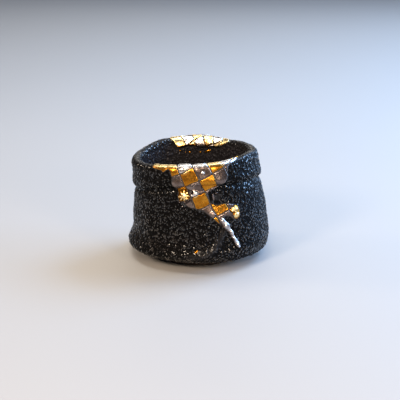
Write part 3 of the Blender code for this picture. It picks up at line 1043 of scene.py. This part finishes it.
def fleck_tree():
    """Sets a small drop on each point, turned and sized by the point's own values."""
    graph, given, end = new_tree("Stray drops", "Unevenness")
    drop = graph.add("GeometryNodeMeshIcoSphere", {"Radius": 1.0, "Subdivisions": 3})
    size = graph.named("size", "FLOAT_VECTOR")
    out = graph.named("out", "FLOAT_VECTOR")
    way = graph.named("way", "FLOAT_VECTOR")
    turn = graph.add("FunctionNodeAlignRotationToVector", {"Vector": out}, axis="Z")
    aim = {"Rotation": turn, "Vector": way}
    turn = graph.add("FunctionNodeAlignRotationToVector", aim, axis="X", pivot_axis="Z")
    laid = {"Points": given["Geometry"], "Instance": drop, "Rotation": turn, "Scale": size}
    drops = graph.add("GeometryNodeInstanceOnPoints", laid)
    drops = graph.add("GeometryNodeRealizeInstances", {"Geometry": drops})
    place = graph.add("GeometryNodeInputPosition")
    lump = graph.noise(place, METAL_LUMP, 1.0) - 0.5
    return end(graph.raised(drops, lump * given["Unevenness"]))


def new_material(name):
    """A material with one Principled shader: (material, graph, function that fills its sockets)."""
    material = bpy.data.materials.new(name)
    material.use_nodes = True
    tree = material.node_tree
    shader = tree.nodes["Principled BSDF"]

    def feed(sockets):
        for label, value in sockets.items():
            if isinstance(value, Value):
                tree.links.new(value.socket, shader.inputs[label])
            else:
                shader.inputs[label].default_value = value

    return material, Graph(tree), feed


def darkened(tone, part):
    """A colour with only this part of its light."""
    return tuple(part * channel for channel in tone)


def glaze_material(glaze, mend):
    """Black glaze: glossy beads, duller gaps in painted shade, painted glints and low reflection,
    painted inside sheen, grey seam bed.
    """
    material, graph, feed = new_material("black_glaze")
    place = graph.place()
    calm, bed, inside = (graph.painted(name) for name in ("calm", "mend", "inside"))
    bead = beads(graph, place, glaze.bead_size)
    height = graph.add("ShaderNodeSeparateXYZ", {0: place}, output=2)
    patch = graph.noise(place, GLAZE_PATCH, 3.0)
    fine = graph.noise(place, GLAZE_SPECK, 2.0)
    pick = graph.noise(place, 0.9 / glaze.bead_size, 0.0)
    # Painted warm reflection low on the body, in patches.
    low_reflection = graph.ramp(height, 0.034, 0.008) * graph.ramp(patch, 0.35, 0.62)
    top = graph.mix(low_reflection, glaze.bead_colour, glaze.low_reflection_colour)
    raised = graph.ramp(bead, 0.1, 0.7)
    # Painted shade in the gaps between the beads.
    tone = graph.mix(raised, glaze.gap_shade_colour, top)
    # Paler grains and painted glints on some bead tops.
    grains_and_glints = graph.ramp(bead, 0.55, 0.95) * graph.ramp(pick, 0.46, 0.62)
    tone = graph.mix(grains_and_glints, tone, glaze.grain_and_glint_colour)
    smooth = graph.mix(patch, glaze.smooth_colour, glaze.pale_smooth_colour)
    tone = graph.mix(calm * 0.8, tone, smooth)
    # Painted sheen inside, mostly on the beads.
    tone = graph.mix(inside * (0.35 + 0.65 * raised), tone, glaze.inside_sheen_colour)
    tone = graph.mix(graph.ramp(bed, 0.5, 0.8), tone, mend.seam_colour)
    dull = GAP_ROUGH - (GAP_ROUGH - BEAD_ROUGH) * graph.ramp(bead, 0.1, 0.6) + 0.10 * (fine - 0.5)
    dull = dull * (1 - calm) + SMOOTH_ROUGH * calm
    gloss = graph.ramp(bead, 0.23, 0.60) * (1 - calm) + SMOOTH_COAT * calm
    relief = bead * (1 - calm) + 0.12 * fine
    feed({"Base Color": tone, "Roughness": dull, "Coat Weight": gloss, **GLAZE_SHINE})
    feed({"Normal": graph.bumped(relief, glaze.bump)})
    return material


def metal_material(name, bright, deep, rubbed):
    """Hand-laid metal: a slow change of colour, brushed scratches, small dents, a painted highlight
    and painted shade.
    """
    material, graph, feed = new_material(name)
    place = graph.place()
    patch = graph.noise(place, METAL_PATCH, 3.0)
    speck = graph.noise(place, METAL_SPECK, 2.0)
    stretch = {"Vector": place, "Scale": (1.0, 1.0, 0.22), "Rotation": (0.3, 0.5, 0.0)}
    brushed = graph.noise(graph.add("ShaderNodeMapping", stretch), METAL_BRUSH, 2.0)
    light_and_shade = graph.painted("rubbed")
    highlit = graph.ramp(light_and_shade, 0.0, 1.0)
    tone = graph.mix(graph.ramp(patch, 0.38, 0.66), bright, deep)
    tone = graph.mix(graph.ramp(speck, 0.60, 0.78) * 0.6, tone, deep)
    # Painted highlight where the points' painted light is above 0.
    tone = graph.mix(highlit * graph.ramp(patch, 0.25, 0.50), tone, rubbed)
    # Painted shade where the points' painted light is below 0.
    tone = graph.mix(graph.ramp(light_and_shade, -0.1, -0.7), tone, darkened(deep, 0.3))
    dull = METAL_ROUGH + 0.16 * (patch - 0.4) + 0.14 * graph.ramp(speck, 0.45, 0.75)
    relief = (0.55 * brushed + 0.45 * speck) * (1 - 0.65 * highlit)
    feed({"Base Color": tone, "Roughness": dull, "Metallic": 1.0})
    feed({"Normal": graph.bumped(relief, METAL_RELIEF)})
    return material


def clay_material(glaze):
    """Bare dark clay with grit."""
    material, graph, feed = new_material("bare_clay")
    place = graph.place()
    patch = graph.noise(place, CLAY_PATCH, 4.0)
    grit = graph.noise(place, CLAY_GRIT, 3.0)
    darker = darkened(glaze.clay_and_shade_colour, 0.45)
    tone = graph.mix(graph.ramp(patch, 0.3, 0.7), glaze.clay_and_shade_colour, darker)
    tone = graph.mix(graph.ramp(grit, 0.62, 0.72) * 0.5, tone, glaze.grit_colour)
    feed({"Base Color": tone, "Roughness": CLAY_ROUGH + 0.15 * (grit - 0.5)})
    feed({"Normal": graph.bumped(grit, CLAY_RELIEF)})
    return material


def ring_faces(low, high):
    """Faces between two rings of points, the second with as many points or half as many."""
    count, fewer = len(low), len(high)
    if count == fewer:
        after = [(k + 1) % count for k in range(count)]
        return [(low[k], low[a], high[a], high[k]) for k, a in enumerate(after)]
    faces = []
    for k in range(fewer):
        left, middle, right = low[2 * k], low[2 * k + 1], low[(2 * k + 2) % count]
        after = high[(k + 1) % fewer]
        faces += [(left, middle, high[k]), (middle, after, high[k]), (middle, right, after)]
    return faces


def capped_faces(rows, under, over):
    """Faces between rows of points, closed by a fan to one point under and to one over them."""
    faces = [face for low, high in zip(rows, rows[1:]) for face in ring_faces(low, high)]
    faces += [(b, a, under) for a, b in zip(rows[0], rows[0][1:] + rows[0][:1])]
    return faces + [(a, b, over) for a, b in zip(rows[-1], rows[-1][1:] + rows[-1][:1])]


def front_and_back(scene):
    """Both mends."""
    look = scene.cup_mend
    return (
        Mend(look, FRONT_MEND, FRONT_CROSSING, FRONT, look.check, join_front, LUMPS, DROPS),
        Mend(look, BACK_MEND, BACK_CROSSING, -FRONT, look.back_check, join_back, lean=look.lean),
    )


def body_rings(skin):
    """Angles and travels of each ring, from the foot up over the lip and in to the floor."""
    fine = FRONT + 2 * math.pi * np.arange(BODY_COLUMNS) / BODY_COLUMNS
    rings = []
    outer, _ = skin.ends(fine)
    for k in range(OUTER_ROWS + 1):
        rings.append((fine, outer * (1 - k / OUTER_ROWS)))
    for k in range(1, LIP_ROWS + 1):
        rings.append((fine, 0 * fine - LIP_INSIDE * k / LIP_ROWS))
    coarse = fine[::2]
    _, inner = skin.ends(coarse)
    for k in range(1, INNER_ROWS + 1):
        rings.append((coarse, -LIP_INSIDE + (inner + LIP_INSIDE) * k / INNER_ROWS))
    return rings


def calm_at(across, travel):
    """How smooth the glaze is at flat places in metres, from 0 to 1."""
    calm = np.zeros(len(across))
    for middle, down, long, wide, turn in PATCHES:
        x, y = across / MM - middle, travel / MM - down
        cos, sin = math.cos(math.radians(turn)), math.sin(math.radians(turn))
        reach = np.hypot((x * cos + y * sin) / long, (y * cos - x * sin) / wide)
        near = reach < 2
        reach[near] += 0.35 * uneven(np.stack([x, y], -1)[near], 1.6, 2.2)
        calm = np.maximum(calm, 0.6 * smoothstep(1.15 - reach, 0, 0.8))
    wide, share = LIP_WEAR
    return np.maximum(calm, share * smoothstep(1 - np.abs(travel / MM) / wide, 0, 0.6))


def fold_at(across, travel):
    """The shape of the fold in the glaze at flat places in metres, from 0 to 1 on its crest."""
    points = np.stack([across, travel], -1)
    path = np.array(FOLD) * MM
    gap = np.full(len(points), 1.0)
    near = (np.abs(points - path.mean(0)) < 20 * MM).all(1)
    gap[near] = np.abs(depth_inside(points[near], np.concatenate([path, path[-2:0:-1]])))
    return np.exp(-((gap / (FOLD_SIZE[0] * MM)) ** 2))


class CUP_OT_body(bpy.types.Operator):
    """Makes the pinched body with its beaded glaze"""

    bl_idname = "cup.body"
    bl_label = "Glazed body"

    def execute(self, context):
        scene = context.scene
        form, glaze, look = scene.cup_form, scene.cup_glaze, scene.cup_mend
        skin = Skin(form)
        rings = body_rings(skin)
        angle = np.concatenate([ring[0] for ring in rings])
        travel = np.concatenate([ring[1] for ring in rings])
        across = turned(angle, FRONT) * form.mouth_radius
        fold = fold_at(across, travel)
        points = skin.at(angle, travel)
        points += skin.normal(angle, travel) * (FOLD_SIZE[1] * MM * fold)[:, None]
        first = np.cumsum([0] + [len(ring[0]) for ring in rings])
        rows = [list(range(low, high)) for low, high in zip(first, first[1:])]

        calm = np.maximum(calm_at(across, travel), FOLD_CALM * fold)
        mended = np.zeros(len(across))
        for mend in front_and_back(scene):
            flat = np.stack([turned(angle, mend.start) * form.mouth_radius, travel], -1)
            flat += wander(flat, look.wander)
            low, high = mend.outline.min(0) - BED_EDGE, mend.outline.max(0) + BED_EDGE
            near = ((flat > low) & (flat < high)).all(1)
            depth = depth_inside(flat[near], mend.outline)
            mended[near] = np.maximum(mended[near], smoothstep(depth, -BED_EDGE, 0.0))
        calm = np.maximum(calm, mended)

        last = points[rows[-1]][::2]
        centre = np.array([0.0, 0.0, form.foot_recess + form.floor_thickness])
        under = [[0, 0, form.foot_height - BASE_DIP]]
        extra = []
        for k in range(FLOOR_ROWS):
            start = len(points) + sum(len(ring) for ring in extra)
            ring = centre + (last - centre) * ((1 - k / FLOOR_ROWS) if k else FIRST_FLOOR_RING)
            rows.append(list(range(start, start + len(ring))))
            extra.append(ring)
        points = np.concatenate([points, *extra, [centre], under])
        faces = capped_faces(rows, under=len(points) - 1, over=len(points) - 2)

        piece = made_piece("glazed_body", points, faces)
        spare = len(points) - len(calm)
        # Where the painted sheen inside is laid.
        inside = smoothstep(-travel, *INSIDE_SPAN)
        with_values(piece, "calm", np.append(calm, np.full(spare, FLOOR_CALM)))
        with_values(piece, "mend", np.append(mended, np.zeros(spare)))
        with_values(piece, "inside", np.append(inside, np.ones(spare)))
        settings = {
            "Bead size": glaze.bead_size,
            "Relief": glaze.relief,
            "Drift": glaze.drift,
            "Bed": look.bed,
            "Material": glaze_material(glaze, look),
        }
        shaped(piece, glaze_tree(), **settings)
        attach(piece, BODY)
        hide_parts(CUP_NODE)
        return {"FINISHED"}


class CUP_OT_foot(bpy.types.Operator):
    """Makes the unglazed foot ring and its recess"""

    bl_idname = "cup.foot"
    bl_label = "Foot ring"

    def execute(self, context):
        form = context.scene.cup_form
        outer, inner = form.foot_radius, form.foot_radius - form.foot_ring_width
        recess, chamfer, count = form.foot_recess, form.foot_chamfer, FOOT_COLUMNS
        top = form.foot_height + FOOT_SUNK
        profile = [
            (inner / 3, recess),
            (inner * 2 / 3, recess),
            (inner - 2 * chamfer, recess),
            (inner - chamfer, recess - chamfer),
            (inner - 0.1 * chamfer, 0.3 * chamfer),
            (inner + 0.3 * chamfer, 0),
            (outer - chamfer, 0),
            (outer, chamfer),
            (outer + 0.4 * chamfer, form.foot_height),
            (outer - 2 * chamfer, top),
        ]
        angles = 2 * math.pi * np.arange(count) / count
        points = []
        for radius, height in profile:
            wave = radius + FOOT_WAVE * np.sin(3 * angles + height / MM)
            points += zip(wave * np.cos(angles), wave * np.sin(angles), np.full(count, height))
        rows = [list(range(k * count, (k + 1) * count)) for k in range(len(profile))]
        points += [(0, 0, recess), (0, 0, top)]
        faces = capped_faces(rows, under=len(points) - 2, over=len(points) - 1)
        piece = made_piece("foot_ring", points, faces, clay_material(context.scene.cup_glaze))
        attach(piece, BODY)
        return {"FINISHED"}


class CUP_OT_checks(bpy.types.Operator):
    """Lays the gold and silver checks of both mends"""

    bl_idname = "cup.checks"
    bl_label = "Gold and silver checks"

    def execute(self, context):
        scene = context.scene
        look = scene.cup_mend
        skin = Skin(scene.cup_form)
        finishes = {
            "gold": metal_material("gold", look.gold, look.deep_gold, look.painted_highlight_gold),
            "silver": metal_material("silver", look.silver, look.tarnish, look.painted_highlight_silver),
        }
        for place, mend in zip(("front", "back"), front_and_back(scene)):
            for metal, (points, faces, light_and_shade) in mend.slabs(skin).items():
                piece = made_piece(f"{place}_{metal}_checks", points, faces, finishes[metal])
                # The points carry the painted highlight and painted shade.
                with_values(piece, "rubbed", light_and_shade)
                piece.data.set_sharp_from_angle(angle=SHARP_EDGE)
                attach(piece, BODY)
        return {"FINISHED"}


class CUP_OT_vein(bpy.types.Operator):
    """Sweeps the raised silver vein below the front checks"""

    bl_idname = "cup.vein"
    bl_label = "Silver vein"

    def execute(self, context):
        skin = Skin(context.scene.cup_form)
        path = np.array(VEIN) * MM
        points = skin.off(path[:, 0], path[:, 1], -VEIN_SUNK * path[:, 2])
        edges = [(k, k + 1) for k in range(len(points) - 1)]
        piece = made_piece("silver_vein", points, [], edges=edges)
        with_values(piece, "half_width", path[:, 2])
        sizes = {"Step": VEIN_STEP * MM, "Lump": VEIN_LUMP * MM, "Lump size": VEIN_LUMP_SIZE * MM}
        shaped(piece, vein_tree(), **sizes, Material=bpy.data.materials["silver"])
        facing = np.empty(3 * len(piece.data.vertices), np.float32)
        piece.data.vertex_normals.foreach_get("vector", facing)
        # Painted highlight on the vein's upper right side, painted shade on its far side.
        with_values(piece, "rubbed", np.clip(facing.reshape(-1, 3) @ VEIN_HIGHLIGHT_SIDE, -0.25, 1))
        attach(piece, BODY)
        return {"FINISHED"}


class CUP_OT_flecks(bpy.types.Operator):
    """Sets the stray drops of gold and silver beside the mends"""

    bl_idname = "cup.flecks"
    bl_label = "Stray drops"

    def execute(self, context):
        skin = Skin(context.scene.cup_form)
        tree = fleck_tree()
        for metal, marks in (("gold", GOLD_FLECKS), ("silver", SILVER_FLECKS)):
            degrees, down, long, wide, turn = np.array(marks, float).T
            angle = np.radians(degrees)
            travel = down * MM
            out = skin.normal(angle, travel)
            points = skin.at(angle, travel) + out * FLECK_OFF * MM
            side = np.stack([-np.sin(angle), np.cos(angle), 0 * angle], -1)
            lift = np.radians(turn)[:, None]
            way = side * np.cos(lift) + np.cross(out, side) * np.sin(lift)
            piece = made_piece(f"{metal}_drops", points, [])
            size = np.stack([long, wide, 0 * long + FLECK_RISE], -1) * MM
            for name, values in (("size", size), ("out", out), ("way", way)):
                with_values(piece, name, values, "FLOAT_VECTOR")
            material = bpy.data.materials[metal]
            shaped(piece, tree, Unevenness=FLECK_UNEVEN * MM, Material=material)
            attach(piece, BODY)
        return {"FINISHED"}


def area_light(name, place, size, power, tint):
    """A soft box aimed at the cup."""
    data = bpy.data.lights.new(name, "AREA")
    data.shape = "RECTANGLE"
    data.size, data.size_y = size
    data.energy = power
    data.color = tint
    light = bpy.data.objects.new(name, data)
    light.location = place
    light.rotation_euler = (Vector(LIT_POINT) - Vector(place)).to_track_quat("-Z", "Y").to_euler()
    bpy.context.scene.collection.objects.link(light)


class CUP_OT_stage(bpy.types.Operator):
    """Sets up the floor, the light and the camera"""

    bl_idname = "cup.stage"
    bl_label = "Stage"

    def execute(self, context):
        scene = context.scene
        look = scene.cup_stage
        material, graph, feed = new_material("pale_floor")
        place = graph.place()
        patch = graph.noise(place, FLOOR_PATCH, 3.0)
        grain = graph.noise(place, FLOOR_GRAIN, 2.0)
        tone = graph.mix(patch, look.floor_colour, darkened(look.floor_colour, 0.93))
        feed({"Base Color": tone, "Roughness": FLOOR_ROUGH + 0.1 * (grain - 0.5)})
        turns = np.linspace(0.1, 1.5, 15)
        bend = FLOOR_BEND * np.stack([np.sin(turns), 1 - np.cos(turns)], -1) + (FLOOR_BACK, 0)
        rows = [(FLOOR_FRONT, 0), (FLOOR_BACK, 0), *bend, (FLOOR_BACK + FLOOR_BEND, WALL_TOP)]
        points = [(x, y, z) for y, z in rows for x in (-FLOOR_HALF, FLOOR_HALF)]
        faces = [(2 * k, 2 * k + 1, 2 * k + 3, 2 * k + 2) for k in range(len(rows) - 1)]
        made_piece("floor", points, faces, material)

        for name, setting in LIGHTS.items():
            area_light(name, *setting)
        world = bpy.data.worlds.new("studio")
        world.use_nodes = True
        room = world.node_tree.nodes["Background"].inputs
        room["Color"].default_value = (*ROOM_COLOUR, 1)
        room["Strength"].default_value = ROOM_LIGHT
        scene.world = world
        scene.view_settings.view_transform = "Standard"

        lens = bpy.data.cameras.new("view")
        lens.sensor_width = SENSOR
        lens.lens = LENS
        lens.shift_x, lens.shift_y = SHIFT
        lens.clip_start = 0.01
        camera = bpy.data.objects.new("view", lens)
        down, away = look.elevation, look.view_distance
        camera.location = (0, -away * math.cos(down), look.view_height + away * math.sin(down))
        camera.rotation_euler = (math.pi / 2 - down, 0, 0)
        scene.collection.objects.link(camera)
        scene.camera = camera
        return {"FINISHED"}


GROUPS = {
    "cup_form": CupForm,
    "cup_glaze": GlazeLook,
    "cup_mend": MendLook,
    "cup_stage": StageLook,
}
OPERATORS = (CUP_OT_body, CUP_OT_foot, CUP_OT_checks, CUP_OT_vein, CUP_OT_flecks, CUP_OT_stage)


class CUP_PT_making(bpy.types.Panel):
    """Sizes, colours and the steps of making the cup"""

    bl_label = "Sake cup"
    bl_space_type = "VIEW_3D"
    bl_region_type = "UI"
    bl_category = "Cup"

    def draw(self, context):
        for name, group in GROUPS.items():
            box = self.layout.box()
            box.label(text=group.__doc__)
            for label in group.__annotations__:
                text = label.replace("_", " ").capitalize()
                box.prop(getattr(context.scene, name), label, text=text)
        for operator in OPERATORS:
            self.layout.operator(operator.bl_idname)


def register():
    for name, group in GROUPS.items():
        bpy.utils.register_class(group)
        setattr(bpy.types.Scene, name, bpy.props.PointerProperty(type=group))
    for shown in (*OPERATORS, CUP_PT_making):
        bpy.utils.register_class(shown)


def unregister():
    for shown in reversed((*OPERATORS, CUP_PT_making)):
        bpy.utils.unregister_class(shown)
    for name, group in GROUPS.items():
        delattr(bpy.types.Scene, name)
        bpy.utils.unregister_class(group)


def main():
    register()
    for operator in OPERATORS:
        getattr(bpy.ops.cup, operator.bl_idname.split(".")[1])()


if __name__ == "__main__":
    main()
